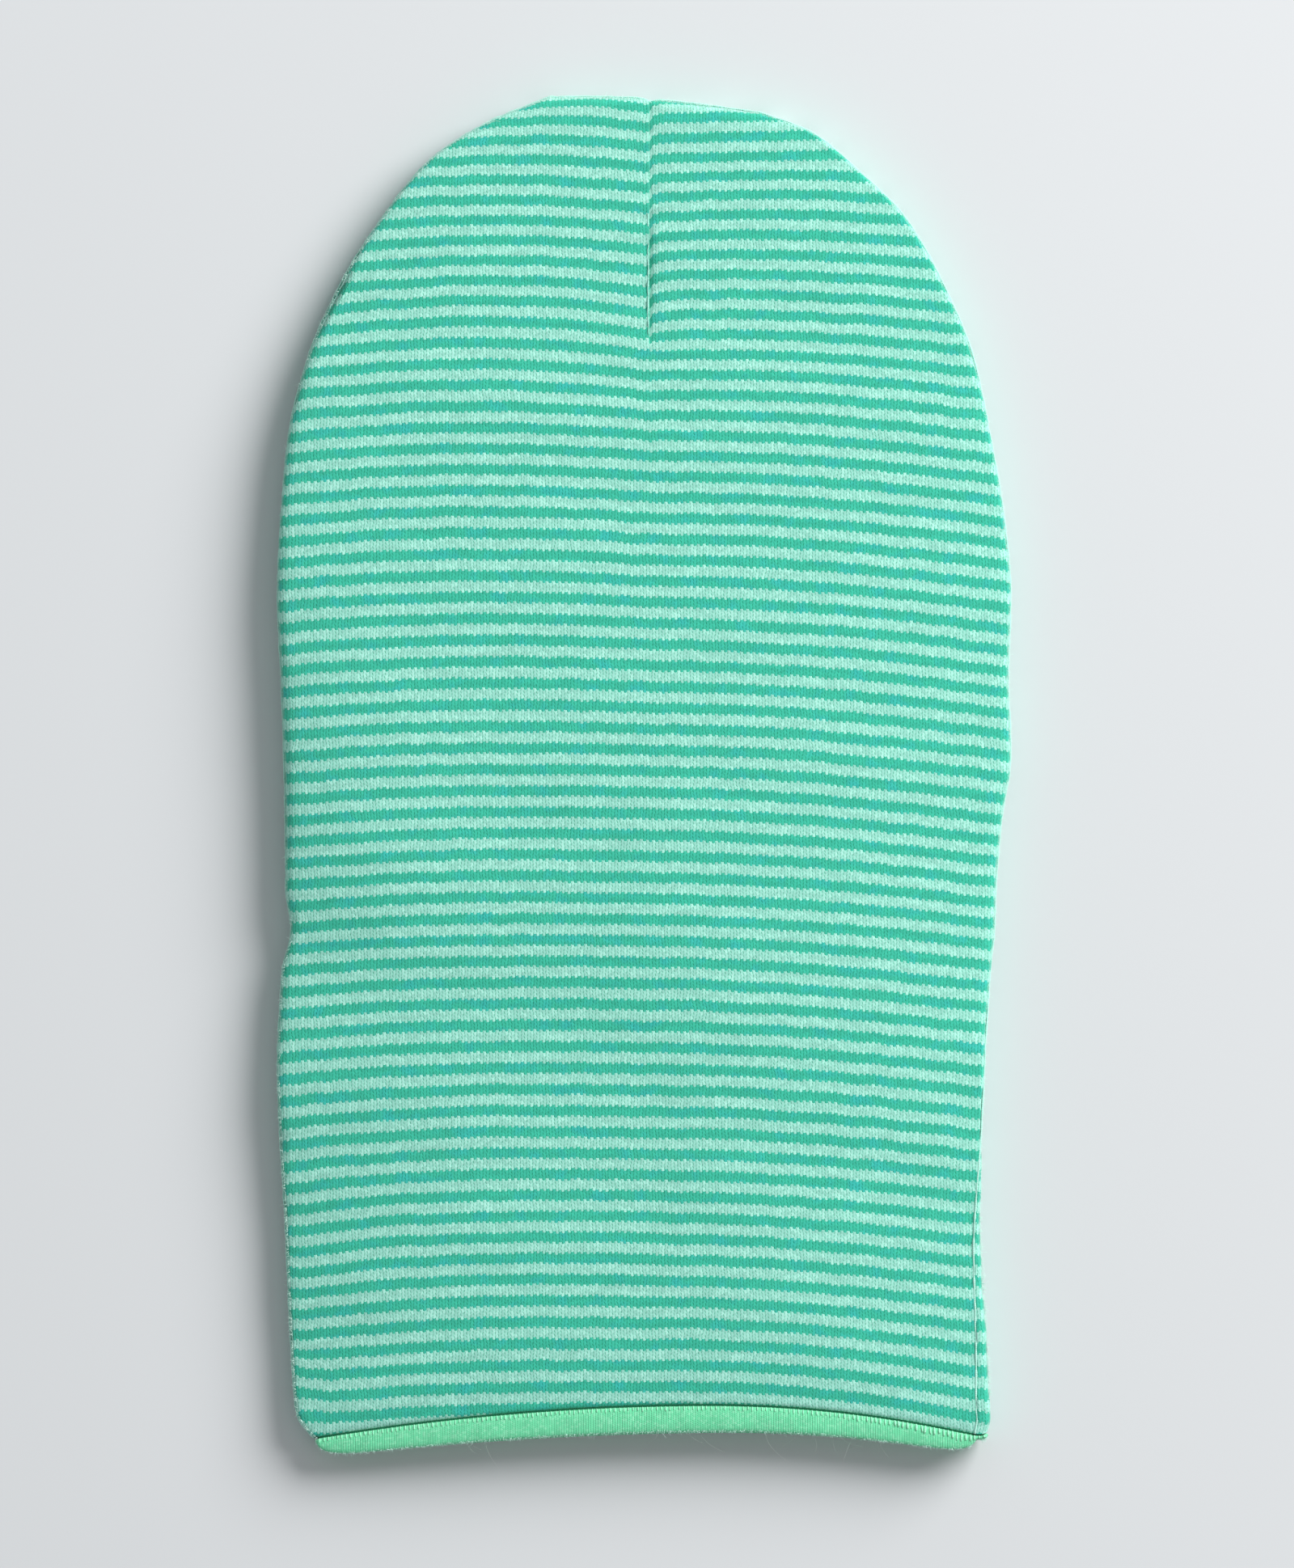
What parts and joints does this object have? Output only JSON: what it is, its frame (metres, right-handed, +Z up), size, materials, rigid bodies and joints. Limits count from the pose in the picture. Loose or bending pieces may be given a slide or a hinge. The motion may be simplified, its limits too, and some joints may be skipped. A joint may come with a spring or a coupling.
{
  "type": "monkey cap",
  "caption": "Baby's monkey cap in fine striped interlock knit, lying flat: a soft bag with a crown dart, a bound face opening and a bound neck.",
  "frame": {"origin": "on the floor under the middle of the cap as it lies, back panel up", "axes": "+Z up out of the back panel, +Y towards the crown, -Y towards the neck, +X towards the wearer's right"},
  "size_m": [0.15, 0.278, 0.0116],
  "materials": {
    "striped_knit": "matt fine interlock knit in teal and mint stripes",
    "green_rib": "matt fine knitted binding, plain light green"
  },
  "bodies": {
    "root": {"back_panel": "striped_knit", "front_panel": "striped_knit", "neck_binding": "green_rib", "face_binding": "green_rib"}
  },
  "joints": []
}
